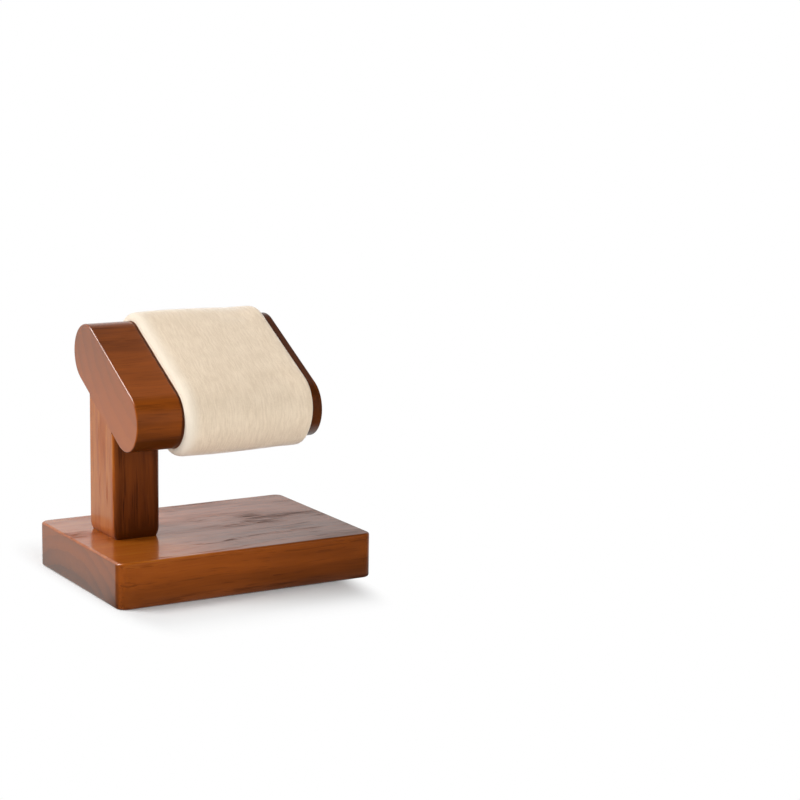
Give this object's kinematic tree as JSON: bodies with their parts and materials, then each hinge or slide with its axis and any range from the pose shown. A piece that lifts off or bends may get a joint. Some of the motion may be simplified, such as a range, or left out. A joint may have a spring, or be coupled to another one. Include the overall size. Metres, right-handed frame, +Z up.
{
  "type": "watch stand",
  "caption": "Wooden watch stand: a tilted padded roll of long round-ended section, held at one end by a block and post on a rectangular base board.",
  "frame": {"origin": "middle of the base board's flat underside", "axes": "+Z up; +X along the base's long side, from the post towards the roll's free end; the watch faces -Y"},
  "size_m": [0.085, 0.062, 0.0799],
  "materials": {
    "stained_wood": "reddish-brown stain under a satin lacquer, open grain showing",
    "core_wood": "bare softwood",
    "foam": "matt soft foam",
    "microfibre": "cream microfibre suede with a short nap",
    "dowel_wood": "bare beech",
    "screw_steel": "zinc plated"
  },
  "bodies": {
    "root": {"base_board": "stained_wood", "post": "stained_wood", "side_block": "stained_wood", "end_cap": "stained_wood", "roll_core": "core_wood", "roll_foam": "foam", "roll_cover": "microfibre", "joint_dowels": "dowel_wood", "block_dowels": "dowel_wood", "cap_dowels": "dowel_wood", "base_screws": "screw_steel"}
  },
  "joints": []
}
